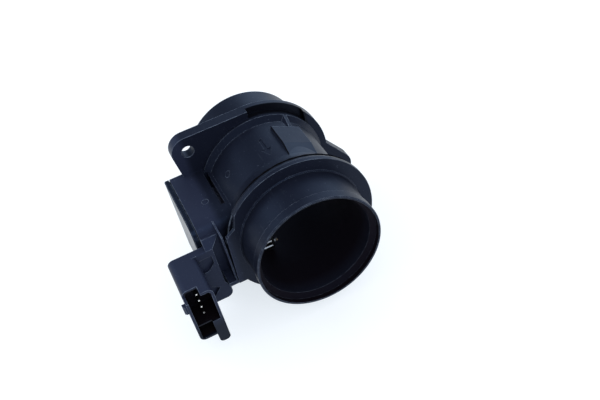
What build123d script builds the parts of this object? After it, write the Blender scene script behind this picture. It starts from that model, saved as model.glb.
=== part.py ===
"""Mass airflow sensor for a passenger-car engine.

A moulded measuring tube with a welded outlet spigot, a two-eared mounting flange, an electronics box
on its side, a four-pin connector and a sensing finger that reaches into the air.

The air flows along Y: in at the +Y spigot, out at the -Y mouth.  The origin is the centre of the
flange's mounting face, and +Z points out of the top of the tube.  Millimetres.
"""
from math import radians, sin, cos
import os

from build123d import *

# ---------------------------------------------------------------- driving dimensions
# Measuring tube: radii about the flow axis, and places along it
bore_r = 31.0
tube_r = 36.0
tube_rear_y = -13.0
shoulder_r = 38.7
shoulder_y = -9.3
flare_r = 41.4
flare_length = 12.5
weld_face_y = -59.0

# Mounting flange and its two ears
flange_r = 43.2
flange_thick = 3.5
ear_thick = 7.0
ear_hole_r = 3.75
left_ear_x, left_ear_z, left_ear_r = -38.9, 33.9, 9.6
right_ear_x, right_ear_z, right_ear_r = 47.1, -23.6, 9.6
right_root_x, right_root_z, right_root_r = 17.7, -9.4, 25.0
relief_left_x, relief_right_x, relief_z = 0.5, 33.0, 18.0

# Inlet spigot behind the flange
inlet_r = 36.0
inlet_length = 24.0
inlet_mouth_r = 33.6
inlet_taper = 14.0

# Outlet spigot with its collar, lip and weld tongue
outlet_length = 31.0
lip_r = 36.3
lip_length = 5.6
lip_step = 0.8
lip_edge = 0.4
mouth_r = 35.0
mouth_deep, mouth_taper = 3.2, 2.5
outlet_bore_r = 32.3
spigot_front_r = 35.3
spigot_root_r = 36.2
collar_r = 43.7
collar_deep = 6.5
collar_rim = 2.6
collar_back_r = 42.2
collar_step = 0.6
weld_gap = 0.8
seam_margin = 0.6
tongue_r, tongue_wide, tongue_deep = 37.0, 2.4, 2.0
weld_play = 0.1

# Box side of the collar: straight, square at the foot, notched above and thin at the notch
side_x, side_foot_z = -43.4, -20.7
side_top_x, side_top_z = -42.0, 14.6
notch_x, notch_z = -36.5, 18.2
notch_top_x, notch_top_z = -34.3, 26.9
notch_thick, notch_drop = 2.0, 6.0

# Electronics box on the -X side, and its cover
box_side_x = -54.9
box_top_z = 18.0
box_bottom_z = -34.5
box_front_y = -53.0
box_wall = 2.4
box_floor_x = -43.5
box_inner_x = -24.0
box_foot_cut = 6.0
nose_r = 8.0
box_corner_r = 1.5
seal_thick = 0.5
seal_inset = 0.7
cover_thick = 2.8
cover_edge = 0.5

# Label land, relief slot, gusset, flow arrow and ejector marks on the tube
land_angle = 63.0
land_rise, land_sink, land_root = 0.6, 1.2, 3.0
land_wide = 18.0
land_front_y, land_rear_y = -47.2, -19.7
land_ramp = 10.0
slot_x, slot_wide, slot_deep = -34.2, 2.4, 9.0
slot_front_y, slot_rear_y = -42.0, -10.5
gusset_angle = 57.0
gusset_ridge = 2.0
gusset_flank = 0.9
gusset_long = 14.0
gusset_root = 2.0
arrow_x, arrow_deep = -1.0, 0.45
arrow_tip_y, arrow_tail_y = -42.0, -26.0
arrow_head_long, arrow_head_wide, arrow_shaft_wide = 6.5, 5.5, 1.8
ejector_r, ejector_deep = 1.9, 0.25
ejector_angle, ejector_y = 133.8, -30.0
box_ejector_x, box_ejector_y = -42.5, -34.5

# Guard wall beside the collar, and the web at its foot
guard_thick = 0.9
guard_gap = 0.3
guard_top_z = 16.3
guard_front_y = -65.0
web_x = -49.0
web_thick = 2.5
web_bite = 0.5

# Connector: a plate in front of the box, and a shroud that opens the way the outlet does
plate_front_y = -60.0
plate_thick = 5.0
plate_top_z = 7.0
plate_bottom_z = -32.9
plate_right_x = -50.4
plate_foot_x, plate_foot_top_z, plate_foot_z = -47.9, -20.0, -25.5
plate_corner_r = 4.0
plate_edge_r = 0.8
brow_z = 11.4
brow_right_x = -44.2
shroud_left_x = -76.0
shroud_right_x = -60.2
shroud_mouth_y = -86.5
shroud_bottom_z = -27.3
shroud_wall = 1.5
socket_deep = 17.0
shroud_round = 3.5
rib_z, rib_thick, rib_back = -17.2, 1.0, 1.8
lower_pocket_deep = 9.0
leg_wide = 6.2
leg_drop = 7.3
leg_round = 2.4
lip_notch = 6.0
lip_notch_wide = 8.9
latch_z, latch_tall, latch_out, latch_long = -1.2, 5.6, 2.0, 3.0
latch_back = 0.6
pocket_deep = 1.8
pocket_right_x, pocket_top_z, pocket_side_z = -52.2, 2.5, -3.1
pocket_nose_x, pocket_nose_z, pocket_bottom_z = -55.9, -7.2, -8.0
foot_pocket_x, foot_pocket_z = -53.8, -22.8
foot_pocket_top_z, foot_pocket_bottom_z = -18.5, -30.0

# Terminals
terminal_count = 4
terminal_pitch = 5.0
terminal_first_z = 1.8
terminal_x = -68.6
terminal_wide, terminal_tall = 1.5, 0.8
terminal_tip_y = -81.0
crossing_y = -56.6
tail_x = -52.6
foot_y = -48.0

# Circuit: metal base plate, board and the components on it
base_plate_thick = 2.0
board_thick = 1.0
board_margin = 1.2
board_corner_r = 1.0
chip_size, chip_thick, chip_y, chip_z = 10.0, 1.6, -27.0, -4.0
driver_wide, driver_tall, driver_thick, driver_y, driver_z = 6.5, 6.2, 2.3, -14.5, -25.5
capacitor_long, capacitor_wide, capacitor_thick = 2.0, 1.25, 1.2
capacitor_y, capacitor_z, capacitor_pitch, capacitor_count = -14.0, 6.0, 4.0, 4
resistor_long, resistor_wide, resistor_thick = 3.2, 1.6, 0.6
resistor_y, resistor_z, resistor_pitch, resistor_count = -33.5, -27.0, 4.5, 3

# Sensing finger, with its two film elements in a window and a temperature bead at its tip
finger_y, finger_z = -42.0, -21.5
finger_long, finger_tall = 11.0, 10.0
finger_tip_x = -13.8
finger_round = 2.0
finger_play = 0.15
root_margin = 2.4
window_deep, window_tall, window_wide, window_tip = 4.5, 7.4, 7.4, 1.6
element_r, element_spread, element_inset = 0.55, 3.6, 0.9
element_seat = 0.8
bead_r = 0.9
bead_reach = 1.7
lead_r, lead_spread = 0.3, 0.9
lead_seat = 1.2

# ---------------------------------------------------------------- worked-out places
mouth_y = weld_face_y - outlet_length
collar_y = weld_face_y - collar_deep
seam_r = tongue_r + tongue_wide / 2 + seam_margin
rim_x = box_side_x + seal_thick
box_rear_y = -flange_thick
base_top_x = box_floor_x - base_plate_thick
board_top_x = base_top_x - board_thick
finger_front_y = finger_y - finger_long / 2
finger_rear_y = finger_y + finger_long / 2
root_rear_y = finger_rear_y + root_margin + finger_play
window_front_x = finger_tip_x - window_tip - window_wide
bead_y = finger_front_y + finger_round
flare_mid_r = tube_r + (flare_r - tube_r) * 0.3
plate_rear_y = plate_front_y + plate_thick
leg_x = shroud_right_x - leg_wide
guard_inner_x = side_x - guard_gap
guard_outer_x = guard_inner_x - guard_thick
land_r = tube_r + land_rise
land_out = (cos(radians(land_angle)), 0, sin(radians(land_angle)))
gusset_root_r = tube_r - gusset_root
arrow_floor_z = tube_r - arrow_deep


def across(y):
    """Plane across the flow at the given y, drawn as seen from the outlet: X right, Z up."""
    return Plane.XZ.offset(-y)


def beside(x):
    """Plane along the flow at the given x, facing -X: its first axis is -Y, its second is Z."""
    return Plane(origin=(x, 0, 0), x_dir=(0, -1, 0), z_dir=(-1, 0, 0))


def round_flow(angle, y):
    """Plane across the flow at y, turned so that its second axis points out of the tube at the angle."""
    return Plane(origin=(0, y, 0), x_dir=(sin(radians(angle)), 0, -cos(radians(angle))), z_dir=(0, -1, 0))


def out_of_tube(angle, r, y):
    """Plane facing out of the tube at the angle, at radius r and at y; its second axis is +Y."""
    out = (cos(radians(angle)), 0, sin(radians(angle)))
    return Plane(origin=(out[0] * r, y, out[2] * r), x_dir=(out[2], 0, -out[0]), z_dir=out)


def rect_between(low, high):
    """Rectangle between two opposite corners, in the sketch in hand."""
    with Locations(((low[0] + high[0]) / 2, (low[1] + high[1]) / 2)):
        Rectangle(abs(high[0] - low[0]), abs(high[1] - low[1]))


def block(low, high, mode=Mode.ADD):
    """Box between two opposite corners, in the part in hand."""
    with Locations(tuple((a + b) / 2 for a, b in zip(low, high))):
        Box(*[abs(b - a) for a, b in zip(low, high)], mode=mode)


def box_outline(inset):
    """Side outline of the electronics box, drawn in by the inset, in the sketch in hand."""
    rect_between((-box_rear_y + inset, box_bottom_z + inset), (-box_front_y - inset, box_top_z - inset))
    by_place = vertices().sort_by(Axis.Y)
    fillet(by_place[-2:].sort_by(Axis.X)[-1], radius=nose_r - inset)
    fillet(vertices().sort_by(Axis.Y)[:2], radius=max(box_corner_r - inset, box_corner_r / 3))


def gusset_section(y, ridge_r):
    """Section of the gusset across the flow: a trapezoid with its ridge at the given radius."""
    foot = gusset_ridge / 2 + gusset_flank * (ridge_r - gusset_root_r)
    with BuildSketch(round_flow(gusset_angle, y)) as section:
        with BuildLine():
            Polyline((-foot, gusset_root_r), (-gusset_ridge / 2, ridge_r), (gusset_ridge / 2, ridge_r),
                     (foot, gusset_root_r), close=True)
        make_face()
    return section.sketch


# ---------------------------------------------------------------- terminals
def terminal(number):
    """One flat terminal: blade in the shroud, crossing in the plate, tail and foot in the box."""
    z = terminal_first_z - terminal_pitch * number
    half = terminal_wide / 2
    with BuildPart() as strip:
        with BuildSketch(Plane.XY.offset(z - terminal_tall / 2)):
            rect_between((terminal_x - half, terminal_tip_y), (terminal_x + half, crossing_y + half))
            rect_between((terminal_x - half, crossing_y - half), (tail_x + half, crossing_y + half))
            rect_between((tail_x - half, crossing_y - half), (tail_x + half, foot_y + half))
            rect_between((tail_x - half, foot_y - half), (board_top_x, foot_y + half))
        extrude(amount=terminal_tall)
        tip = strip.edges().filter_by(Axis.Z).group_by(Axis.Y)[0]
        chamfer(tip, length=half / 2)
    return strip.part


terminals = [terminal(number) for number in range(terminal_count)]

# ---------------------------------------------------------------- outlet spigot
with BuildPart() as outlet_spigot:
    with BuildSketch(Plane.XY) as spigot_profile:
        with BuildLine():
            Polyline((bore_r, weld_face_y), (collar_back_r, weld_face_y), (collar_r, collar_y + collar_rim),
                     (collar_r, collar_y), (spigot_root_r + collar_step, collar_y),
                     (spigot_root_r, collar_y - collar_step),
                     (spigot_front_r, mouth_y + lip_length + lip_step), (lip_r, mouth_y + lip_length),
                     (lip_r, mouth_y + lip_edge), (lip_r - lip_edge, mouth_y), (mouth_r, mouth_y),
                     (mouth_r, mouth_y + mouth_deep), (outlet_bore_r, mouth_y + mouth_deep + mouth_taper),
                     close=True)
        make_face()
    revolve(axis=Axis.Y)
    with BuildSketch(across(weld_face_y)) as square_foot:
        with BuildLine():
            Polyline((side_top_x, side_top_z), (side_x, side_foot_z), (notch_x, side_foot_z),
                     (notch_x, side_top_z), close=True)
        make_face()
    extrude(amount=collar_deep)
    with BuildSketch(across(weld_face_y)) as beyond_side:
        with BuildLine():
            Polyline((side_top_x, side_top_z), (side_x, side_foot_z), (-2 * collar_r, side_foot_z),
                     (-2 * collar_r, collar_r), (notch_top_x, collar_r), (notch_top_x, notch_top_z),
                     (notch_x, notch_z), close=True)
        make_face()
    extrude(amount=collar_deep, mode=Mode.SUBTRACT)
    with BuildSketch(across(weld_face_y)) as behind_notch:
        rect_between((-collar_r, side_top_z - notch_drop), (notch_top_x, collar_r))
        Circle(seam_r, mode=Mode.SUBTRACT)
    extrude(amount=collar_deep - notch_thick, mode=Mode.SUBTRACT)
    with BuildSketch(across(weld_face_y)) as seam_cut:
        Circle(2 * collar_r)
        Circle(seam_r, mode=Mode.SUBTRACT)
    extrude(amount=weld_gap, mode=Mode.SUBTRACT)
    with BuildSketch(across(weld_face_y)) as tongue:
        Circle(tongue_r + tongue_wide / 2)
        Circle(tongue_r - tongue_wide / 2, mode=Mode.SUBTRACT)
    extrude(amount=-tongue_deep)

# ---------------------------------------------------------------- film elements, bead and leads
def film_element(side):
    """One film rod along X, across the finger's window, above or below its middle."""
    with BuildPart() as rod:
        with BuildSketch(beside(window_front_x + window_wide + element_seat)):
            with Locations((-finger_front_y - element_inset, finger_z + side * element_spread / 2)):
                Circle(element_r)
        extrude(amount=window_wide + 2 * element_seat)
    return rod.part


heated_element = film_element(1)
reference_element = film_element(-1)

with BuildPart() as air_temperature_bead:
    with Locations((finger_tip_x + bead_reach, bead_y, finger_z)):
        Sphere(bead_r)

with BuildPart() as sensor_leads:
    with BuildSketch(beside(finger_tip_x + bead_reach)) as lead_ends:
        with Locations((-bead_y, finger_z - lead_spread / 2), (-bead_y, finger_z + lead_spread / 2)):
            Circle(lead_r)
    extrude(amount=bead_reach + lead_seat)
    add(air_temperature_bead.part, mode=Mode.SUBTRACT)

# ---------------------------------------------------------------- sensing finger
with BuildPart() as sensor_carrier:
    with BuildSketch(beside(box_floor_x)) as root:
        with Locations((-finger_y, finger_z)):
            RectangleRounded(finger_long + 2 * root_margin, finger_tall + 2 * root_margin, root_margin)
    extrude(amount=base_plate_thick)
    with BuildSketch(beside(box_floor_x)) as stem:
        with Locations((-finger_y, finger_z)):
            RectangleRounded(finger_long, finger_tall, finger_round)
    extrude(amount=box_floor_x - finger_tip_x)
    chamfer(sensor_carrier.faces().sort_by(Axis.X)[-1].edges(), length=finger_round / 2)
    block((window_front_x, finger_front_y - finger_play, finger_z - window_tall / 2),
          (window_front_x + window_wide, finger_front_y + window_deep, finger_z + window_tall / 2),
          mode=Mode.SUBTRACT)
    for seated in (heated_element, reference_element, sensor_leads.part):
        add(seated, mode=Mode.SUBTRACT)

# ---------------------------------------------------------------- housing
with BuildPart() as housing:
    # Electronics box, solid for now, its foot cut back toward the tube
    with BuildSketch(beside(box_inner_x)) as box_block:
        box_outline(0)
    extrude(amount=box_inner_x - rim_x)
    with BuildSketch(across(box_rear_y)) as foot_cut:
        with BuildLine():
            Polyline((box_inner_x, box_bottom_z), (box_inner_x - box_foot_cut, box_bottom_z),
                     (box_inner_x, box_bottom_z + box_foot_cut), close=True)
        make_face()
    extrude(amount=box_rear_y - box_front_y, mode=Mode.SUBTRACT)

    # Neck and brow between the box and the connector plate
    with BuildSketch(beside(rim_x)) as neck:
        with BuildLine():
            Polyline((-box_front_y - nose_r / 2, brow_z), (-plate_rear_y, brow_z),
                     (-plate_front_y, plate_top_z), (-plate_front_y, plate_bottom_z + plate_corner_r),
                     (-box_front_y - nose_r / 2, plate_bottom_z + plate_corner_r), close=True)
        make_face()
    extrude(amount=rim_x - brow_right_x)
    with BuildSketch(across(box_front_y)) as neck_side:
        with BuildLine():
            Polyline((brow_right_x, brow_z), (plate_right_x, plate_top_z), (plate_right_x, box_bottom_z),
                     (brow_right_x, box_bottom_z), close=True)
        make_face()
    extrude(amount=box_front_y - plate_front_y, mode=Mode.SUBTRACT)

    # Tube, shoulder and inlet spigot, turned about the flow axis
    with BuildSketch(Plane.XY) as tube_profile:
        with BuildLine():
            ThreePointArc((flare_r, weld_face_y), (flare_mid_r, weld_face_y + flare_length / 2),
                          (tube_r, weld_face_y + flare_length))
            Polyline((tube_r, weld_face_y + flare_length), (tube_r, tube_rear_y), (shoulder_r, shoulder_y),
                     (shoulder_r, 0), (inlet_r, 0), (inlet_r, inlet_length), (0, inlet_length),
                     (0, weld_face_y), (flare_r, weld_face_y))
        make_face()
    revolve(axis=Axis.Y)

    # Flange plate with its ears, thinned on the front above the right ear
    with BuildSketch(Plane.XZ) as left_ear:
        Circle(flange_r)
        with Locations((left_ear_x, left_ear_z)):
            Circle(left_ear_r)
        make_hull()
    extrude(amount=ear_thick)
    with BuildSketch(Plane.XZ) as right_ear:
        with Locations((right_ear_x, right_ear_z)):
            Circle(right_ear_r)
        with Locations((right_root_x, right_root_z)):
            Circle(right_root_r)
        make_hull()
    extrude(amount=ear_thick)
    with BuildSketch(across(-flange_thick)) as relief:
        rect_between((relief_left_x, relief_z), (relief_right_x, flange_r))
        Circle(shoulder_r, mode=Mode.SUBTRACT)
    extrude(amount=ear_thick - flange_thick, mode=Mode.SUBTRACT)

    # Label land and gusset on the tube
    with BuildSketch(Plane(origin=(0, 0, 0), x_dir=land_out, z_dir=(-land_out[2], 0, land_out[0]))) as land:
        with BuildLine():
            Polyline((tube_r - land_root, land_front_y), (tube_r - land_sink, land_front_y),
                     (land_r, land_front_y + land_ramp), (land_r, land_rear_y),
                     (tube_r - land_root, land_rear_y), close=True)
        make_face()
    extrude(amount=land_wide / 2, both=True)
    loft(sections=[gusset_section(shoulder_y, shoulder_r), gusset_section(shoulder_y - gusset_long, tube_r)])

    # Guard wall beside the collar, with a web at its foot
    block((guard_outer_x, guard_front_y, side_foot_z), (guard_inner_x, box_front_y + nose_r, guard_top_z))
    block((web_x, guard_front_y, side_foot_z),
          (guard_outer_x + web_bite, box_front_y + web_bite, side_foot_z + web_thick))

    # Connector plate, and the shroud and its leg standing on it
    with BuildSketch(across(plate_rear_y)) as plate:
        with BuildLine():
            Polyline((shroud_right_x - shroud_round, plate_top_z), (plate_right_x, plate_top_z),
                     (plate_right_x, plate_foot_top_z), (plate_foot_x, plate_foot_z),
                     (plate_foot_x, plate_bottom_z), (shroud_right_x - shroud_round, plate_bottom_z),
                     close=True)
        make_face()
        fillet(vertices().sort_by(Axis.Y)[:2].sort_by(Axis.X)[-1], radius=plate_corner_r)
    extrude(amount=plate_thick)
    with BuildSketch(beside(rim_x)) as plate_edge:
        with Locations((-plate_front_y - plate_edge_r, plate_top_z - plate_edge_r)):
            Rectangle(plate_edge_r, plate_edge_r, align=Align.MIN)
            Circle(plate_edge_r, mode=Mode.SUBTRACT)
    extrude(amount=rim_x - shroud_right_x, mode=Mode.SUBTRACT)
    with BuildSketch(across(plate_rear_y)) as shroud:
        rect_between((shroud_left_x, shroud_bottom_z), (shroud_right_x, plate_top_z))
        fillet(vertices(), radius=shroud_round)
    extrude(amount=plate_rear_y - shroud_mouth_y)
    with BuildSketch(across(plate_rear_y)) as leg:
        rect_between((leg_x, shroud_bottom_z - leg_drop), (shroud_right_x, shroud_bottom_z + shroud_round))
        fillet(vertices().sort_by(Axis.Y)[:2], radius=leg_round)
    extrude(amount=plate_rear_y - shroud_mouth_y)
    block((shroud_left_x - latch_out, shroud_mouth_y + latch_back, latch_z - latch_tall / 2),
          (shroud_left_x + shroud_wall, shroud_mouth_y + latch_back + latch_long, latch_z + latch_tall / 2))
    latch_edge = housing.edges().filter_by(Axis.Z).sort_by(Axis.X)[:2].sort_by(Axis.Y)[0]
    chamfer(latch_edge, length=latch_out / 2)

    # Socket of the connector, its lower pocket, the rib between them and the notch in the lip
    with BuildSketch(across(shroud_mouth_y + socket_deep)) as socket:
        rect_between((shroud_left_x + shroud_wall, rib_z + rib_thick / 2),
                     (shroud_right_x - shroud_wall, plate_top_z - shroud_wall))
        fillet(vertices().sort_by(Axis.Y)[-2:], radius=shroud_round - shroud_wall)
    extrude(amount=socket_deep, mode=Mode.SUBTRACT)
    block((shroud_left_x + shroud_wall, shroud_mouth_y, shroud_bottom_z + shroud_wall),
          (leg_x, shroud_mouth_y + lower_pocket_deep, rib_z - rib_thick / 2), mode=Mode.SUBTRACT)
    block((shroud_left_x + shroud_wall, shroud_mouth_y, rib_z - rib_thick / 2),
          (leg_x, shroud_mouth_y + rib_back, rib_z + rib_thick / 2), mode=Mode.SUBTRACT)
    block((shroud_left_x, shroud_mouth_y, plate_top_z - shroud_round),
          (shroud_left_x + lip_notch_wide, shroud_mouth_y + lip_notch, plate_top_z), mode=Mode.SUBTRACT)

    # Hollows in the plate beside the shroud
    with BuildSketch(across(plate_front_y)) as upper_pocket:
        with BuildLine():
            Polyline((shroud_right_x, pocket_top_z), (pocket_right_x, pocket_top_z),
                     (pocket_right_x, pocket_side_z), (pocket_nose_x, pocket_nose_z),
                     (shroud_right_x, pocket_bottom_z), close=True)
        make_face()
    extrude(amount=-pocket_deep, mode=Mode.SUBTRACT)
    with BuildSketch(across(plate_front_y)) as foot_pocket:
        with BuildLine():
            Polyline((shroud_right_x, foot_pocket_top_z), (foot_pocket_x, foot_pocket_z),
                     (shroud_right_x, foot_pocket_bottom_z), close=True)
        make_face()
    extrude(amount=-pocket_deep, mode=Mode.SUBTRACT)

    # Bore with its inlet taper, and the groove that takes the weld tongue
    with BuildSketch(Plane.XY) as bore_profile:
        with BuildLine():
            Polyline((0, weld_face_y), (bore_r, weld_face_y), (bore_r, inlet_length - inlet_taper),
                     (inlet_mouth_r, inlet_length), (0, inlet_length), close=True)
        make_face()
    revolve(axis=Axis.Y, mode=Mode.SUBTRACT)
    with BuildSketch(across(weld_face_y)) as weld_groove:
        Circle(tongue_r + tongue_wide / 2 + weld_play)
        Circle(tongue_r - tongue_wide / 2 - weld_play, mode=Mode.SUBTRACT)
    extrude(amount=-tongue_deep - weld_play, mode=Mode.SUBTRACT)

    # Inside of the box, and the slot that lets the finger into the bore
    with BuildSketch(beside(box_floor_x)) as box_inside:
        box_outline(box_wall)
    extrude(amount=box_floor_x - rim_x, mode=Mode.SUBTRACT)
    with BuildSketch(beside(box_floor_x)) as finger_slot:
        with Locations((-finger_y, finger_z)):
            RectangleRounded(finger_long + 2 * finger_play, finger_tall + 2 * finger_play, finger_round)
    extrude(amount=box_floor_x - finger_tip_x, mode=Mode.SUBTRACT)

    # Bolt holes, relief slot and the engraved flow arrow
    with BuildSketch(Plane.XZ) as bolt_holes:
        with Locations((left_ear_x, left_ear_z), (right_ear_x, right_ear_z)):
            Circle(ear_hole_r)
    extrude(amount=ear_thick, mode=Mode.SUBTRACT)
    block((slot_x - slot_wide / 2, slot_front_y, box_top_z - slot_deep),
          (slot_x + slot_wide / 2, slot_rear_y, box_top_z), mode=Mode.SUBTRACT)
    with BuildSketch(Plane.XY.offset(arrow_floor_z)) as flow_arrow:
        with BuildLine():
            Polyline((arrow_x, arrow_tip_y), (arrow_x + arrow_head_wide / 2, arrow_tip_y + arrow_head_long),
                     (arrow_x - arrow_head_wide / 2, arrow_tip_y + arrow_head_long), close=True)
        make_face()
        rect_between((arrow_x - arrow_shaft_wide / 2, arrow_tip_y + arrow_head_long),
                     (arrow_x + arrow_shaft_wide / 2, arrow_tail_y))
    extrude(amount=arrow_deep, mode=Mode.SUBTRACT)
    with BuildSketch(out_of_tube(ejector_angle, tube_r, ejector_y),
                     Plane.XY.offset(box_top_z)
                     .move(Location((box_ejector_x, box_ejector_y, 0)))) as ejector_marks:
        Circle(ejector_r)
    extrude(amount=-ejector_deep, mode=Mode.SUBTRACT)

    # Room for the moulded-in terminals
    for strip in terminals:
        add(strip, mode=Mode.SUBTRACT)

# ---------------------------------------------------------------- cover and its seal
with BuildPart() as cover:
    with BuildSketch(beside(box_side_x)) as cover_outline:
        box_outline(0)
    extrude(amount=cover_thick)
    chamfer(cover.faces().sort_by(Axis.X)[0].edges(), length=cover_edge)

with BuildPart() as cover_seal:
    with BuildSketch(beside(rim_x)) as seal_ring:
        box_outline(seal_inset)
    extrude(amount=seal_thick)
    with BuildSketch(beside(rim_x)) as seal_inside:
        box_outline(box_wall)
    extrude(amount=seal_thick, mode=Mode.SUBTRACT)

# ---------------------------------------------------------------- base plate, board and components
with BuildPart() as base_plate:
    block((base_top_x, root_rear_y, box_bottom_z + box_wall + board_margin),
          (box_floor_x, box_rear_y - box_wall - board_margin, box_top_z - box_wall - board_margin))
    fillet(base_plate.edges().filter_by(Axis.X), radius=board_corner_r)

with BuildPart() as circuit_board:
    with BuildSketch(beside(base_top_x)) as board_outline:
        box_outline(box_wall + board_margin)
    extrude(amount=board_thick)


def component(y, z, long, tall, thick):
    """One component body on the board: its middle, its size along Y and Z, and its height."""
    with BuildPart() as body:
        block((board_top_x - thick, y - long / 2, z - tall / 2), (board_top_x, y + long / 2, z + tall / 2))
        chamfer(body.faces().sort_by(Axis.X)[0].edges(), length=thick / 5)
    return body.part


control_chip = component(chip_y, chip_z, chip_size, chip_size, chip_thick)
driver_transistor = component(driver_y, driver_z, driver_wide, driver_tall, driver_thick)
capacitors = [component(capacitor_y, capacitor_z - capacitor_pitch * place, capacitor_wide,
                        capacitor_long, capacitor_thick) for place in range(capacitor_count)]
resistors = [component(resistor_y + resistor_pitch * place, resistor_z, resistor_wide,
                       resistor_long, resistor_thick) for place in range(resistor_count)]

# ---------------------------------------------------------------- names and files
pieces = {
    "housing": housing.part,
    "outlet_spigot": outlet_spigot.part,
    "cover": cover.part,
    "cover_seal": cover_seal.part,
    "base_plate": base_plate.part,
    "circuit_board": circuit_board.part,
    "control_chip": control_chip,
    "driver_transistor": driver_transistor,
    "chip_capacitors": Compound(children=capacitors),
    "chip_resistors": Compound(children=resistors),
    "sensor_carrier": sensor_carrier.part,
    "heated_element": heated_element,
    "reference_element": reference_element,
    "air_temperature_bead": air_temperature_bead.part,
    "sensor_leads": sensor_leads.part,
}
for place, strip in enumerate(terminals):
    pieces[f"terminal_{place + 1}"] = strip

os.makedirs("parts", exist_ok=True)
for name, piece in pieces.items():
    piece.label = name
    export_step(piece, f"parts/{name}.step")
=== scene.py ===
"""Mass airflow sensor: finishes, small fitted details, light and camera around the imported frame."""
import math

import bmesh
import bpy
from mathutils import Matrix, Vector


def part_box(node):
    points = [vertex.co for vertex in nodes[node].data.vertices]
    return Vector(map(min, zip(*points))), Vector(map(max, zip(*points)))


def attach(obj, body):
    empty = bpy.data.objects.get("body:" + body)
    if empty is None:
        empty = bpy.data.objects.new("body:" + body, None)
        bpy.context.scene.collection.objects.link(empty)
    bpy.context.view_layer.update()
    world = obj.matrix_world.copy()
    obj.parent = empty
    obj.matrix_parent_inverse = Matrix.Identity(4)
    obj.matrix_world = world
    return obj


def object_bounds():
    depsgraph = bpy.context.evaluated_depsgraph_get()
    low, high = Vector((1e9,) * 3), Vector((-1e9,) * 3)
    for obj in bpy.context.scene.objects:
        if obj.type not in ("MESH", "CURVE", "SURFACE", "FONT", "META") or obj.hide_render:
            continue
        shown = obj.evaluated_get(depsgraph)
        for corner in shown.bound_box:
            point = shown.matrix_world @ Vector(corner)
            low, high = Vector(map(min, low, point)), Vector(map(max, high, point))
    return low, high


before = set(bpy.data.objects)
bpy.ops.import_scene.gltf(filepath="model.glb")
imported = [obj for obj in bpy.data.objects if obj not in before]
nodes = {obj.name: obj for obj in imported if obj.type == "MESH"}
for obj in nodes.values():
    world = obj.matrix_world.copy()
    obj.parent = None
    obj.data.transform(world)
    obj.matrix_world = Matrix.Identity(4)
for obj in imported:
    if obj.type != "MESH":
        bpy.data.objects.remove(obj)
cad_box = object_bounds()
MM = 0.001

# ---------------------------------------------------------------- housing
# The measuring tube, flange, electronics box and connector are one moulding in black glass-filled
# plastic. It leaves the mould with a satin grain, its edges are painted paler in patches, partly as wear
# from handling and partly as painted edge highlight, and the bore is painted a dull dark shade.
# The edge colour is partly wear and partly a painted highlight on the rounded edges.
housing_colour, housing_edge_wear_and_highlight = (0.0074, 0.0092, 0.0180), (0.190, 0.235, 0.315)
plastic_specular, plastic_specular_tint = 0.20, (0.42, 0.60, 1.0, 1)
flow_mark_mm, flow_dark, flow_pale, lit_zone_pale = 26, 0.72, 1.3, 2.5
scuff_mm, scuff_stretch, scuff_range, scuff_strength = 1.1, 14, (0.66, 0.78), 0.06
speck_mm, speck_range, speck_strength = 0.7, (0.72, 0.80), 0.3
wear_patch_mm, wear_patch_range, wear_patch_least = 3.5, (0.35, 0.62), 0.25
noise_range = (0.3, 0.7)
grain_depth_mm = 0.02
unworn_strength = 0.85
# The bore's colour is a painted shade, dull and dark, with a rougher gloss.
bore_shade_colour, bore_shade_dulling = (0.0052, 0.0019, 0.0027), 0.3
pad_turn = math.radians(63)
pad_across = Vector((-math.sin(pad_turn), 0, math.cos(pad_turn)))

# Zones of the moulding, as spans in mm, each with the width of its fade at both ends where it has one
far = 1000
arrow_zone = {"x": (-12, 8), "y": (-46, -22), "z": (33, far)}
slot_rim = {"x": (-36.4, -32.0), "y": (-43.2, -9.3), "z": (15.0, 19.0)}
slot_walls_light = {"x": (-35.8, -32.6), "y": (-42.4, -15.0), "z": (8.0, 17.6)}
# The box and connector are painted paler, as painted light.
box_and_connector_light = {"x": (-far, -39.0, 0, 4.0)}
flare_edge_highlight = {"y": (-59.2, -57.7), "radius": (40.5, 44.2)}
flange_relief_shade = {"x": (0.3, 34.5), "y": (-7.2, -3.0), "z": (18, far), "radius": (38.6, 45.0)}
pad_ramp_light = {"across_pad": (-9.0, 9.0), "y": (-52.0, -36.8, 4.5, 1.0), "z": (20, far), "radius": (34.5, 38.0)}
socket_walls_shade = {"x": (-74.6, -61.6), "y": (-86.2, -69.0), "z": (-26.2, 6.0)}
leg_front_shade = {"x": (-80, -55), "y": (-90, -85), "z": (-far, -12.0, 0, 10.0)}
bore_walls = {"radius": (-far, 32.4, 0, 0.6)}


def add_node(tree, kind, **settings):
    """Adds a shader node, with its own settings and, by socket name, the values it starts from."""
    node = tree.nodes.new("ShaderNode" + kind)
    for key, value in settings.items():
        if key in node.inputs:
            node.inputs[key].default_value = value
        else:
            setattr(node, key, value)
    return node


def noise(tree, place, size_mm, detail=3, roughness=0.5, stretch=(1, 1, 1)):
    """Noise whose grains measure about size_mm, drawn out by the stretch along each axis."""
    scale = add_node(tree, "Mapping")
    scale.inputs["Scale"].default_value = [1 / (size_mm * MM * part) for part in stretch]
    texture = add_node(tree, "TexNoise", Scale=1.0, Detail=detail, Roughness=roughness)
    tree.links.new(place.outputs["Object"], scale.inputs["Vector"])
    tree.links.new(scale.outputs["Vector"], texture.inputs["Vector"])
    return texture.outputs["Fac"]


def ramp(tree, source, low, high, to_low=0.0, to_high=1.0):
    """Maps a value from low..high to to_low..to_high, clamped."""
    node = add_node(tree, "MapRange")
    for key, value in (("From Min", low), ("From Max", high), ("To Min", to_low), ("To Max", to_high)):
        node.inputs[key].default_value = value
    tree.links.new(source, node.inputs["Value"])
    return node.outputs["Result"]


def vary(tree, pattern, least, most):
    """A value that follows a noise, from its least to its most."""
    return ramp(tree, pattern, *noise_range, least, most)


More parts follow.
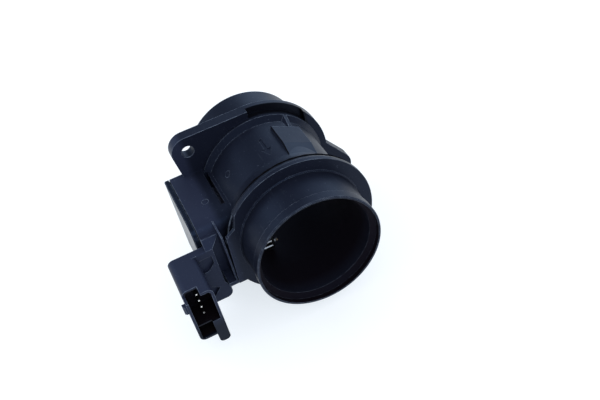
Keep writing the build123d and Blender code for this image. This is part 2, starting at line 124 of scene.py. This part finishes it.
def combine(tree, operation, first, second):
    """Math on two values, either of which may be a plain number."""
    node = add_node(tree, "Math", operation=operation)
    for socket, value in zip(node.inputs, (first, second)):
        if isinstance(value, (int, float)):
            socket.default_value = value
        else:
            tree.links.new(value, socket)
    return node.outputs["Value"]


def blend(tree, share, first, second):
    """Colour mix: first where the share is 0, second where it is 1."""
    node = add_node(tree, "Mix", data_type="RGBA")
    for key, value in (("A", first), ("B", second)):
        if isinstance(value, tuple):
            node.inputs[key].default_value = (*value, 1)
        else:
            tree.links.new(value, node.inputs[key])
    tree.links.new(share, node.inputs["Factor"])
    return node.outputs["Result"]


def shade(colour, factor):
    """The same colour, darker or paler."""
    return tuple(channel * factor for channel in colour)


def split(tree, vector):
    """The X, Y and Z of a vector."""
    parts = add_node(tree, "SeparateXYZ")
    tree.links.new(vector, parts.inputs["Vector"])
    return [parts.outputs[axis] for axis in "XYZ"]


def along(tree, vector, direction):
    """How far a vector reaches in a direction."""
    node = add_node(tree, "VectorMath", operation="DOT_PRODUCT")
    node.inputs[1].default_value = direction
    tree.links.new(vector, node.inputs[0])
    return node.outputs["Value"]


def measure(tree, place):
    """Where a point is: X, Y, Z, its radius from the flow axis, and its place across the label pad."""
    x, y, z = split(tree, place.outputs["Object"])
    from_axis = add_node(tree, "CombineXYZ")
    tree.links.new(x, from_axis.inputs["X"])
    tree.links.new(z, from_axis.inputs["Z"])
    radius = add_node(tree, "VectorMath", operation="LENGTH")
    tree.links.new(from_axis.outputs["Vector"], radius.inputs[0])
    return {"x": x, "y": y, "z": z, "radius": radius.outputs["Value"],
            "across_pad": along(tree, place.outputs["Object"], pad_across)}


def within(tree, measures, zone):
    """1 inside a zone and 0 outside it."""
    share = 1.0
    for name, (low, high, *fades) in zone.items():
        fade_in, fade_out = fades or (0, 0)
        value = measures[name]
        above = (ramp(tree, value, low * MM, (low + fade_in) * MM) if fade_in
                 else combine(tree, "GREATER_THAN", value, low * MM))
        below = (ramp(tree, value, high * MM, (high - fade_out) * MM) if fade_out
                 else combine(tree, "LESS_THAN", value, high * MM))
        share = combine(tree, "MULTIPLY", share, combine(tree, "MULTIPLY", above, below))
    return share


def new_material(name):
    """A node material, its tree, its main shader and its coordinates."""
    material = bpy.data.materials.new(name)
    material.use_nodes = True
    tree = material.node_tree
    return material, tree, tree.nodes["Principled BSDF"], add_node(tree, "TexCoord")


def rounded(tree, radius_mm):
    """Normal of a surface with its edges rounded."""
    bevel = add_node(tree, "Bevel", samples=6)
    bevel.inputs["Radius"].default_value = radius_mm * MM
    return bevel.outputs["Normal"]


def outer_edges(tree, normal, flat_dot=0.997, worn_dot=0.94, closed_in=0.78, open_air=0.92, reach_mm=1.5):
    """1 on the edges that stick out, where the rounded normal turns away, and 0 in inner corners."""
    flat = add_node(tree, "NewGeometry")
    agree = add_node(tree, "VectorMath", operation="DOT_PRODUCT")
    tree.links.new(normal, agree.inputs[0])
    tree.links.new(flat.outputs["Normal"], agree.inputs[1])
    around = add_node(tree, "AmbientOcclusion", samples=4, only_local=True, Distance=reach_mm * MM)
    return combine(tree, "MULTIPLY", ramp(tree, agree.outputs["Value"], flat_dot, worn_dot),
                   ramp(tree, around.outputs["AO"], closed_in, open_air))


def bump(tree, shader, height, depth_mm, strength=0.35, normal=None):
    """Fine relief on the shader, on top of a given normal."""
    relief = add_node(tree, "Bump", Strength=strength, Distance=depth_mm * MM)
    tree.links.new(height, relief.inputs["Height"])
    if normal:
        tree.links.new(normal, relief.inputs["Normal"])
    tree.links.new(relief.outputs["Normal"], shader.inputs["Normal"])


def moulded_plastic(name, colour, edge_wear_and_highlight, roughness, grain_mm=0.16, streak_axis=1, edge_mm=0.45,
                    lit_zone=None, unworn=()):
    """Black moulded plastic: grain, slow flow marks, faint scuffs, and edges painted pale in patches as wear
    and painted highlight.

    Its skin is painted paler in the lit zone, as painted light, and its edges stay dark in the unworn zones.
    """
    material, tree, shader, place = new_material(name)
    measures = measure(tree, place)
    flow = noise(tree, place, flow_mark_mm, detail=6, roughness=0.62)
    drawn = [scuff_stretch if axis == streak_axis else 1 for axis in range(3)]
    scuffs = ramp(tree, noise(tree, place, scuff_mm, stretch=drawn), *scuff_range)
    specks = ramp(tree, noise(tree, place, speck_mm, detail=1), *speck_range)
    patches = ramp(tree, noise(tree, place, wear_patch_mm, detail=4), *wear_patch_range,
                   wear_patch_least, 1.0)
    normal = rounded(tree, edge_mm)
    edges = outer_edges(tree, normal)
    for zone in unworn:
        kept = combine(tree, "MULTIPLY", within(tree, measures, zone), unworn_strength)
        edges = combine(tree, "MULTIPLY", edges, combine(tree, "SUBTRACT", 1.0, kept))

    skin = blend(tree, flow, shade(colour, flow_dark), shade(colour, flow_pale))
    if lit_zone:
        skin = blend(tree, within(tree, measures, lit_zone), skin, shade(colour, lit_zone_pale))
    # Scuffs, specks and edges take the pale edge colour: wear, and on the edges also a painted highlight.
    rub_and_highlight = combine(tree, "MAXIMUM", combine(tree, "MULTIPLY", scuffs, scuff_strength),
                  combine(tree, "MULTIPLY", edges, patches))
    rub_and_highlight = combine(tree, "MAXIMUM", rub_and_highlight, combine(tree, "MULTIPLY", specks, speck_strength))
    gloss = vary(tree, flow, roughness - 0.06, roughness + 0.08)
    gloss = combine(tree, "ADD", gloss, combine(tree, "MULTIPLY", scuffs, 0.1))
    tree.links.new(blend(tree, rub_and_highlight, skin, edge_wear_and_highlight), shader.inputs["Base Color"])
    tree.links.new(gloss, shader.inputs["Roughness"])
    bump(tree, shader, noise(tree, place, grain_mm, detail=2), grain_depth_mm, normal=normal)
    shader.inputs["Specular IOR Level"].default_value = plastic_specular
    shader.inputs["Specular Tint"].default_value = plastic_specular_tint
    return material, measures, edges, patches


def colour_over(material, share, colour):
    """Lays a colour over the material's own where the share is 1."""
    tree = material.node_tree
    base = tree.nodes["Principled BSDF"].inputs["Base Color"]
    tree.links.new(blend(tree, share, base.links[0].from_socket, colour), base)


def lay_bore_shade(material, share):
    """Lays the bore's painted dull dark shade over the material where the share is 1."""
    colour_over(material, share, bore_shade_colour)
    tree = material.node_tree
    gloss = tree.nodes["Principled BSDF"].inputs["Roughness"]
    duller = combine(tree, "MULTIPLY", share, bore_shade_dulling)
    tree.links.new(combine(tree, "ADD", gloss.links[0].from_socket, duller), gloss)


def dress(name, material):
    """Gives a CAD node its finish in place of the plain one it was packed with."""
    mesh = nodes[name].data
    mesh.materials.clear()
    mesh.materials.append(material)


material, measures, _, patches = moulded_plastic(
    "housing_black", housing_colour, housing_edge_wear_and_highlight, 0.42, lit_zone=box_and_connector_light,
    unworn=(arrow_zone, slot_rim))
tree = material.node_tree
# A painted highlight along the flare's edge at the weld face, in the pale edge colour, broken into patches.
colour_over(material, combine(tree, "MULTIPLY", within(tree, measures, flare_edge_highlight), patches), housing_edge_wear_and_highlight)
# The flange's relief recess is painted a darker shade.
for zone, colour in ((flange_relief_shade, (0.0034, 0.0034, 0.0052)),
                     # The pad's ramp is painted paler, as painted light, so it reads as lit like the pad.
                     (pad_ramp_light, (0.0190, 0.0260, 0.0420)),
                     # The slot's inner walls are painted much paler, as painted light in the slot's shade.
                     (slot_walls_light, (0.054, 0.060, 0.092)),
                     # The socket's inner walls are painted a darker, warmer shade.
                     (socket_walls_shade, (0.0062, 0.0040, 0.0050)),
                     # The front of the lower leg is painted darker, as painted shade, fading out upwards.
                     (leg_front_shade, shade(housing_colour, 0.5))):
    colour_over(material, within(tree, measures, zone), colour)
# The bore is painted a dull dark shade.
lay_bore_shade(material, within(tree, measures, bore_walls))
dress("housing", material)

# ---------------------------------------------------------------- outlet spigot
# A second moulding in the same plastic, with the collar and the lipped hose spigot, hot-plate welded
# to the tube. It comes from another mould, so its grain is a little finer and glossier. The bore's painted
# shade also covers the recess in its mouth, apart from the pale edges.
# The recess in the mouth takes the bore's painted shade.
mouth_recess = {"y": (-far, -83.9, 0, 0.2), "radius": (-far, 35.2, 0, 0.2)}
bare_edge_share = 0.8

# Its pale edge colour is partly wear and partly a painted edge highlight.
material, measures, edges, _ = moulded_plastic(
    "outlet_black", (0.0080, 0.0100, 0.0192), (0.205, 0.250, 0.330), 0.40, grain_mm=0.12, edge_mm=0.30,
    lit_zone=box_and_connector_light)
tree = material.node_tree
bare = combine(tree, "SUBTRACT", 1.0, combine(tree, "MULTIPLY", edges, bare_edge_share))
recess = combine(tree, "MULTIPLY", within(tree, measures, mouth_recess), bare)
lay_bore_shade(material, combine(tree, "MAXIMUM", within(tree, measures, bore_walls), recess))
dress("outlet_spigot", material)

# ---------------------------------------------------------------- weld flash as painted groove shadow
# Where the two mouldings were melted together, a thin near-black matt curl shaped as weld flash lies
# in the groove as its painted shadow. It runs round the joint as a dark line and stops short of the box.
flash_r, flash_y, flash_thick = 42.2 * MM, -59.5 * MM, 0.8 * MM
flash_from, flash_to, flash_steps, flash_sides = math.radians(-150), math.radians(138), 216, 8
flash_end_thick, flash_taper = 0.15, 12
flash_wave_height, flash_wave_run = 0.10, 173


def join_rings(form, rings):
    """Joins rings of corners, each to the next, and closes the first and the last."""
    for ring, after in zip(rings, rings[1:]):
        for corner in range(len(ring)):
            on = (corner + 1) % len(ring)
            form.faces.new((ring[corner], ring[on], after[on], after[corner]))
    form.faces.new(rings[0][::-1])
    form.faces.new(rings[-1])


def finish_piece(name, form, material):
    """Turns a mesh in the making into a piece on the part's body, with its finish."""
    bmesh.ops.recalc_face_normals(form, faces=form.faces)
    mesh = bpy.data.meshes.new(name)
    form.to_mesh(mesh)
    form.free()
    piece = bpy.data.objects.new(name, mesh)
    bpy.context.scene.collection.objects.link(piece)
    mesh.materials.append(material)
    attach(piece, "root")
    return piece


# Near-black and matt: a painted shadow colour, used for the weld groove and the pad's edge.
shadow_black, tree, shader, place = new_material("painted_shadow_black")
curl = noise(tree, place, 1.4, detail=4)
tree.links.new(blend(tree, curl, (0.0012, 0.0012, 0.0018), (0.0045, 0.0046, 0.0065)),
               shader.inputs["Base Color"])
tree.links.new(vary(tree, curl, 0.75, 0.95), shader.inputs["Roughness"])
shader.inputs["Specular IOR Level"].default_value = 0.03
bump(tree, shader, curl, 0.08)
flash = bmesh.new()
rings = []
for step in range(flash_steps + 1):
    share = step / flash_steps
    turn = flash_from + (flash_to - flash_from) * share
    thick = flash_thick * min(1.0, flash_end_thick + flash_taper * min(share, 1 - share))
    thick *= 1 + flash_wave_height * math.sin(share * flash_wave_run)
    out = Vector((math.cos(turn), 0, math.sin(turn)))
    sides = [2 * math.pi * corner / flash_sides for corner in range(flash_sides)]
    rings.append([flash.verts.new(out * (flash_r + thick * math.cos(side)) +
                                  Vector((0, flash_y + thick * math.sin(side), 0))) for side in sides])
join_rings(flash, rings)
finish_piece("weld_groove_shadow", flash, shadow_black)

# ---------------------------------------------------------------- pad line, painted shadow
# A thin near-black strip lies beside the tube's label pad, from the flange down its ramp to the tube:
# a painted shadow of the step at the pad's edge.
pad_out = Vector((math.cos(pad_turn), 0, math.sin(pad_turn)))
pad_line_across, pad_line_wide, pad_line_thick = 8.95 * MM, 0.62 * MM, 0.2 * MM
pad_line_y_and_radius = ((-19.9, 36.62), (-28, 36.62), (-37.2, 36.62), (-47.2, 34.86), (-50.2, 34.90))


def bent_strip(form, points, across, wide, thick):
    """Adds a flat strip to a mesh in the making. It follows the points, and its width lies across."""
    rings = []
    for number, point in enumerate(points):
        back = points[max(number - 1, 0)]
        on = points[min(number + 1, len(points) - 1)]
        face = (on - back).normalized().cross(across).normalized()
        rings.append([form.verts.new(point + side * across * wide / 2 + level * face * thick / 2)
                      for side, level in ((-1, -1), (1, -1), (1, 1), (-1, 1))])
    join_rings(form, rings)


line = bmesh.new()
bent_strip(line, [pad_out * radius * MM + pad_across * pad_line_across + Vector((0, y * MM, 0))
                  for y, radius in pad_line_y_and_radius], pad_across, pad_line_wide, pad_line_thick)
finish_piece("pad_line", line, shadow_black)

# ---------------------------------------------------------------- cover
# A flat moulded lid in the same plastic, held on the electronics box by a bead of silicone. Its outer
# face is smoother than the housing and catches the light at a low angle.
# Its pale edge colour is partly wear and partly a painted edge highlight.
material, *_ = moulded_plastic("cover_black", (0.0062, 0.0090, 0.0175), (0.090, 0.115, 0.170), 0.28,
                               streak_axis=2)
dress("cover", material)

# ---------------------------------------------------------------- cover seal
# A bead of black silicone, dispensed on the box's rim and pressed flat by the cover. It is rubbery,
# with a slight sheen and fine ripples from the nozzle.
material, tree, shader, place = new_material("silicone_black")
mottle = noise(tree, place, 4, detail=3)
tree.links.new(blend(tree, mottle, (0.0025, 0.0025, 0.003), (0.007, 0.007, 0.008)),
               shader.inputs["Base Color"])
tree.links.new(vary(tree, mottle, 0.55, 0.72), shader.inputs["Roughness"])
bump(tree, shader, noise(tree, place, 0.9, detail=2), 0.05)
dress("cover_seal", material)

# ---------------------------------------------------------------- base plate
# A stamped aluminium plate on the floor of the box. It carries the board and takes its heat away,
# and still shows the lines from the rolling mill.
material, tree, shader, place = new_material("rolled_aluminium")
rolling = noise(tree, place, 0.25, detail=3, stretch=(1, 1, 60))
cloud = noise(tree, place, 9, detail=4)
tree.links.new(blend(tree, cloud, (0.60, 0.61, 0.62), (0.76, 0.77, 0.78)), shader.inputs["Base Color"])
tree.links.new(vary(tree, rolling, 0.28, 0.48), shader.inputs["Roughness"])
shader.inputs["Metallic"].default_value = 1.0
bump(tree, shader, rolling, 0.01, normal=rounded(tree, 0.2))
dress("base_plate", material)

# ---------------------------------------------------------------- circuit board
# Glass-epoxy laminate with a green solder mask. Copper tracks show through the mask as paler lines,
# and small tinned holes join its layers.
track_scale, patch_scale, via_scale = 210.0, 160.0, 190.0

material, tree, shader, place = new_material("solder_mask_green")
runs = []
for direction in ("Y", "Z"):
    wave = add_node(tree, "TexWave", bands_direction=direction, Scale=track_scale, Distortion=0.0)
    tree.links.new(place.outputs["Object"], wave.inputs["Vector"])
    runs.append(ramp(tree, wave.outputs["Fac"], 0.78, 0.84))
patch = add_node(tree, "TexVoronoi", Scale=patch_scale, distance="CHEBYCHEV")
tree.links.new(place.outputs["Object"], patch.inputs["Vector"])
turned = ramp(tree, split(tree, patch.outputs["Color"])[0], 0.49, 0.51)
lines = combine(tree, "ADD", combine(tree, "MULTIPLY", runs[0], turned),
                combine(tree, "MULTIPLY", runs[1], combine(tree, "SUBTRACT", 1.0, turned)))
holes = add_node(tree, "TexVoronoi", Scale=via_scale)
tree.links.new(place.outputs["Object"], holes.inputs["Vector"])
vias = ramp(tree, holes.outputs["Distance"], 0.10, 0.07)
mask = blend(tree, lines, (0.006, 0.060, 0.026), (0.022, 0.150, 0.055))
tree.links.new(blend(tree, vias, mask, (0.62, 0.62, 0.60)), shader.inputs["Base Color"])
tree.links.new(vias, shader.inputs["Metallic"])
tree.links.new(vary(tree, noise(tree, place, 6), 0.18, 0.34), shader.inputs["Roughness"])
bump(tree, shader, lines, 0.03)
dress("circuit_board", material)

# ---------------------------------------------------------------- control chip and driver
# Bodies of black epoxy with a matt skin from the mould. Tinned gull-wing leads come out of the chip's
# four sides, and the driver has two leads below and a broad tab above. All stand on the board.
lead_wide, lead_thick, lead_pitch = 0.38 * MM, 0.16 * MM, 0.8 * MM
lead_root, lead_out, lead_foot = 0.1 * MM, 0.35 * MM, 0.65 * MM
lead_splay = 0.4
driver_lead_y, driver_lead_wide, driver_lead_thick = 2.28 * MM, 0.75 * MM, 0.4 * MM
driver_lead_out, driver_lead_splay, driver_lead_foot = 0.8 * MM, 0.5 * MM, 0.9 * MM
tab_wide, tab_thick = 5.2 * MM, 0.5 * MM
tab_root, tab_bend, tab_end = 0.2 * MM, 0.8 * MM, 1.5 * MM
along_y, along_z = Vector((0, 1, 0)), Vector((0, 0, 1))


def tinned(name, colour, roughness, streak_axis=1):
    """Tin plate: bright, a little cloudy, with fine lines drawn along one axis."""
    material, tree, shader, place = new_material(name)
    drawn = [25 if axis == streak_axis else 1 for axis in range(3)]
    lines = noise(tree, place, 0.12, detail=3, stretch=drawn)
    cloud = noise(tree, place, 2.2, detail=4)
    tree.links.new(blend(tree, cloud, shade(colour, 0.86), colour), shader.inputs["Base Color"])
    tree.links.new(vary(tree, lines, roughness - 0.08, roughness + 0.1), shader.inputs["Roughness"])
    shader.inputs["Metallic"].default_value = 1.0
    bump(tree, shader, lines, 0.006, normal=rounded(tree, 0.12))
    return material


material, tree, shader, place = new_material("epoxy_black")
skin = noise(tree, place, 0.12, detail=3)
tree.links.new(blend(tree, noise(tree, place, 5), (0.008, 0.008, 0.009), (0.016, 0.016, 0.017)),
               shader.inputs["Base Color"])
tree.links.new(vary(tree, skin, 0.5, 0.66), shader.inputs["Roughness"])
bump(tree, shader, skin, 0.015, normal=rounded(tree, 0.15))
for name in ("control_chip", "driver_transistor"):
    dress(name, material)

lead_tin = tinned("lead_tin", (0.74, 0.74, 0.72), 0.30, streak_axis=0)
low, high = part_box("control_chip")
middle = (low + high) / 2
board_x = high.x
leads = bmesh.new()
count = int((high.y - low.y - 2 * lead_pitch) / lead_pitch) + 1
for number in range(count):
    offset = (number - (count - 1) / 2) * lead_pitch
    for side in (-1, 1):
        for axis, other in ((along_y, along_z), (along_z, along_y)):
            outward = axis * side
            half = (high - low).dot(axis) / 2
            start = middle + other * offset + outward * (half - lead_root)
            knee = start + outward * (lead_out + lead_root)
            foot = Vector((board_x - lead_thick / 2, knee.y, knee.z)) + outward * lead_out * lead_splay
            bent_strip(leads, [start, knee, foot, foot + outward * lead_foot], other, lead_wide, lead_thick)
finish_piece("control_chip_leads", leads, lead_tin)

low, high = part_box("driver_transistor")
middle = (low + high) / 2
tab = bmesh.new()
for offset in (-driver_lead_y, driver_lead_y):
    start = Vector((middle.x, middle.y + offset, low.z + lead_root))
    knee = start - along_z * driver_lead_out
    foot = Vector((board_x - driver_lead_thick / 2, knee.y, knee.z - driver_lead_splay))
    bent_strip(tab, [start, knee, foot, foot - along_z * driver_lead_foot], along_y,
               driver_lead_wide, driver_lead_thick)
heel = Vector((board_x - tab_thick / 2, middle.y, high.z - tab_root))
bent_strip(tab, [heel, heel + along_z * tab_bend, heel + along_z * tab_end], along_y, tab_wide, tab_thick)
finish_piece("driver_tab_and_leads", tab, lead_tin)

# ---------------------------------------------------------------- capacitors and resistors
# Small ceramic blocks soldered flat on the board. Each has a plain body and a tinned cap at both
# ends, the capacitors tan and the resistors black on top.
cap_tin = (0.70, 0.70, 0.68)
cap_edge = 0.03 * MM


def capped(name, body_colour, centre_z, pitch_z, body_half):
    """Ceramic body with a tinned cap beyond body_half from each centre along Z."""
    material, tree, shader, place = new_material(name)
    z = split(tree, place.outputs["Object"])[2]
    from_centre = combine(tree, "PINGPONG", combine(tree, "SUBTRACT", z, centre_z), pitch_z / 2)
    cap = ramp(tree, from_centre, body_half - cap_edge, body_half + cap_edge)
    body = blend(tree, noise(tree, place, 0.5), shade(body_colour, 0.85), body_colour)
    tree.links.new(blend(tree, cap, body, cap_tin), shader.inputs["Base Color"])
    tree.links.new(cap, shader.inputs["Metallic"])
    tree.links.new(vary(tree, noise(tree, place, 0.2), 0.3, 0.5), shader.inputs["Roughness"])
    bump(tree, shader, noise(tree, place, 0.08, detail=2), 0.005, normal=rounded(tree, 0.1))
    return material


dress("chip_capacitors", capped("capacitor_ceramic", (0.36, 0.24, 0.13), 6.0 * MM, 4.0 * MM, 0.62 * MM))
dress("chip_resistors", capped("resistor_ceramic", (0.015, 0.015, 0.017), -27.0 * MM, 40.0 * MM, 1.15 * MM))

# ---------------------------------------------------------------- sensing finger
# A stem in dark PPS plastic that stands in the air, with a window at its tip. Its long glass fibres
# lie along the stem and show faintly at the surface.
material, tree, shader, place = new_material("finger_dark_plastic")
fibres = noise(tree, place, 0.3, detail=4, stretch=(18, 1, 1))
tree.links.new(blend(tree, fibres, (0.0030, 0.0030, 0.0034), (0.0075, 0.0075, 0.0082)),
               shader.inputs["Base Color"])
tree.links.new(vary(tree, fibres, 0.5, 0.64), shader.inputs["Roughness"])
shader.inputs["Specular IOR Level"].default_value = 0.3
bump(tree, shader, fibres, 0.015, normal=rounded(tree, 0.3))
dress("sensor_carrier", material)

# ---------------------------------------------------------------- film elements
# Two thin ceramic rods across the window, the heated one and the reference. Each carries a platinum
# film, trimmed by a fine spiral cut under a clear glaze, and shines against the dark bore.
material, tree, shader, place = new_material("glazed_platinum_film")
spiral = add_node(tree, "TexWave", bands_direction="DIAGONAL", Scale=900.0, Distortion=0.4)
tree.links.new(place.outputs["Object"], spiral.inputs["Vector"])
cut = ramp(tree, spiral.outputs["Fac"], 0.90, 0.97)
tree.links.new(blend(tree, cut, (0.92, 0.92, 0.94), (0.30, 0.30, 0.33)), shader.inputs["Base Color"])
tree.links.new(vary(tree, noise(tree, place, 0.6), 0.30, 0.42), shader.inputs["Roughness"])
shader.inputs["Metallic"].default_value = 0.75
shader.inputs["Coat Weight"].default_value = 0.6
shader.inputs["Coat Roughness"].default_value = 0.08
bump(tree, shader, cut, 0.01)
for name in ("heated_element", "reference_element"):
    dress(name, material)

# ---------------------------------------------------------------- temperature bead and leads
# A thermistor bead dipped in amber glass, held clear of the tip by two fine nickel-alloy wires that
# are set in the finger.
material, tree, shader, place = new_material("amber_glass")
depth = noise(tree, place, 0.8, detail=3)
tree.links.new(blend(tree, depth, (0.045, 0.032, 0.022), (0.20, 0.15, 0.10)), shader.inputs["Base Color"])
tree.links.new(vary(tree, depth, 0.10, 0.22), shader.inputs["Roughness"])
shader.inputs["Coat Weight"].default_value = 0.8
shader.inputs["Coat Roughness"].default_value = 0.05
bump(tree, shader, noise(tree, place, 0.5, detail=1), 0.02)
dress("air_temperature_bead", material)
dress("sensor_leads", tinned("nickel_wire", (0.42, 0.41, 0.40), 0.34, streak_axis=0))

# ---------------------------------------------------------------- terminals
# Four strips punched from brass and plated with tin, moulded into the connector. Their blades stand
# in the socket, dull but for the tips that the plug has rubbed, and their tails are soldered to the board.
tip_bright, tip_end = 0.4 * MM, 0.8 * MM
blade_dull = (0.16, 0.16, 0.17)
solder_r, solder_top_r = 1.15 * MM, 0.5 * MM
solder_rise, solder_from_tail = 0.75 * MM, 0.75 * MM
solder_steps, solder_sides = 4, 20

terminal_names = [name for name in sorted(nodes) if name.startswith("terminal_")]
terminal_tip_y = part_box(terminal_names[0])[0].y
terminal_tin = tinned("terminal_tin", (0.93, 0.92, 0.89), 0.26)
tree = terminal_tin.node_tree
y = split(tree, add_node(tree, "TexCoord").outputs["Object"])[1]
colour_over(terminal_tin, ramp(tree, y, terminal_tip_y + tip_bright, terminal_tip_y + tip_end), blade_dull)
for name in terminal_names:
    dress(name, terminal_tin)

solder = bmesh.new()
for name in terminal_names:
    low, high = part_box(name)
    centre = Vector((high.x, high.y - solder_from_tail, (low.z + high.z) / 2))
    rings = []
    for step in range(solder_steps + 1):
        climb = step / solder_steps * math.pi / 2
        reach = solder_r - (solder_r - solder_top_r) * math.sin(climb)
        rise = solder_rise * (1 - math.cos(climb))
        turns = [2 * math.pi * side / solder_sides for side in range(solder_sides)]
        rings.append([solder.verts.new(centre + Vector((-rise, reach * math.cos(turn),
                                                        reach * math.sin(turn)))) for turn in turns])
    join_rings(solder, rings)
finish_piece("terminal_solder", solder, lead_tin)

# ---------------------------------------------------------------- floor, light and camera
# A plain pale sweep under a soft studio sky, with one large lamp behind at the right, one at the left,
# and one in front, all a little cool. The floor keeps a soft shadow.
floor_half = 3
floor_glow, floor_glow_strength = (0.88, 0.94, 1.0, 1), 0.76
key_direction, key_spread, key_glow = (0.62, 0.72, 0.31), 0.70, 0.6
overhead_level, horizon_level, horizon_top, horizon_from = 0.18, 0.6, 0.45, (-0.3, 0.5)
cool_tint, lamp_colour = (0.50, 0.70, 1.0), (0.68, 0.82, 1.0)
sky_on_object, sky_shown = 0.95, 1.0
# Each lamp's name, place, target, size and watts
lamps = (("back right", (0.75, 0.85, 0.60), (0, -0.02, 0), 0.9, 2.8),
         ("left", (-0.7, 0.50, 0.75), (-0.03, -0.03, 0), 0.7, 2.6),
         ("front", (0.1, -1.2, 0.9), (0, -0.03, 0), 0.9, 5.0))
lens_mm, sensor_mm = 48.69, 36
camera_place = (-0.07825, -0.37869, 0.31315)
camera_right = Vector((0.89400882, -0.40698042, -0.18739039))
camera_ahead = Vector((0.1845523, 0.71559846, -0.67369079))


def shown_background(tree):
    """1 for rays that show the background: from the camera, in gloss and through glass."""
    rays = add_node(tree, "LightPath")
    gloss = combine(tree, "MAXIMUM", rays.outputs["Is Glossy Ray"], rays.outputs["Is Transmission Ray"])
    return combine(tree, "MAXIMUM", rays.outputs["Is Camera Ray"], gloss)


floor_form = bmesh.new()
bmesh.ops.create_grid(floor_form, x_segments=2, y_segments=2, size=floor_half)
floor_mesh = bpy.data.meshes.new("floor")
floor_form.to_mesh(floor_mesh)
floor_form.free()
floor = bpy.data.objects.new("floor", floor_mesh)
floor.location = (0, 0, cad_box[0][2])
bpy.context.scene.collection.objects.link(floor)

material, tree, shader, place = new_material("floor_white")
shader.inputs["Roughness"].default_value = 0.9
tree.links.new(blend(tree, noise(tree, place, 300), (0.35, 0.35, 0.35), (0.37, 0.37, 0.37)),
               shader.inputs["Base Color"])
shader.inputs["Emission Color"].default_value = floor_glow
tree.links.new(ramp(tree, shown_background(tree), 0, 1, 0.0, floor_glow_strength),
               shader.inputs["Emission Strength"])
floor_mesh.materials.append(material)

world = bpy.data.worlds.new("studio")
bpy.context.scene.world = world
world.use_nodes = True
tree = world.node_tree
sky = tree.nodes["Background"]
direction = add_node(tree, "TexCoord").outputs["Generated"]
_, y, z = split(tree, direction)
glow = ramp(tree, along(tree, direction, key_direction), key_spread, 1.0, 0.0, key_glow)
horizon = combine(tree, "MULTIPLY", ramp(tree, z, horizon_top, 0.0),
                  ramp(tree, y, *horizon_from, 0.0, horizon_level))
level = combine(tree, "ADD", overhead_level, combine(tree, "ADD", glow, horizon))
cool = add_node(tree, "VectorMath", operation="SCALE")
cool.inputs[0].default_value = cool_tint
tree.links.new(level, cool.inputs["Scale"])
rays = add_node(tree, "LightPath")
tree.links.new(blend(tree, rays.outputs["Is Glossy Ray"], (1.0, 1.0, 1.0), cool.outputs["Vector"]),
               sky.inputs["Color"])
tree.links.new(ramp(tree, shown_background(tree), 0, 1, sky_on_object, sky_shown), sky.inputs["Strength"])

for name, lamp_place, target, lamp_size, watts in lamps:
    lamp = bpy.data.lights.new(name, "AREA")
    lamp.shape = "SQUARE"
    lamp.size = lamp_size
    lamp.energy = watts
    lamp.color = lamp_colour
    holder = bpy.data.objects.new(name, lamp)
    holder.location = lamp_place
    holder.rotation_euler = (Vector(target) - Vector(lamp_place)).to_track_quat("-Z", "Y").to_euler()
    bpy.context.scene.collection.objects.link(holder)

camera = bpy.data.cameras.new("camera")
camera.lens = lens_mm
camera.sensor_width = sensor_mm
eye = bpy.data.objects.new("camera", camera)
camera_up = camera_right.cross(camera_ahead)
turn = Matrix((camera_right, camera_up, -camera_ahead)).transposed()
eye.matrix_world = Matrix.Translation(camera_place) @ turn.to_4x4()
bpy.context.scene.collection.objects.link(eye)
bpy.context.scene.camera = eye
bpy.context.scene.view_settings.view_transform = "Standard"
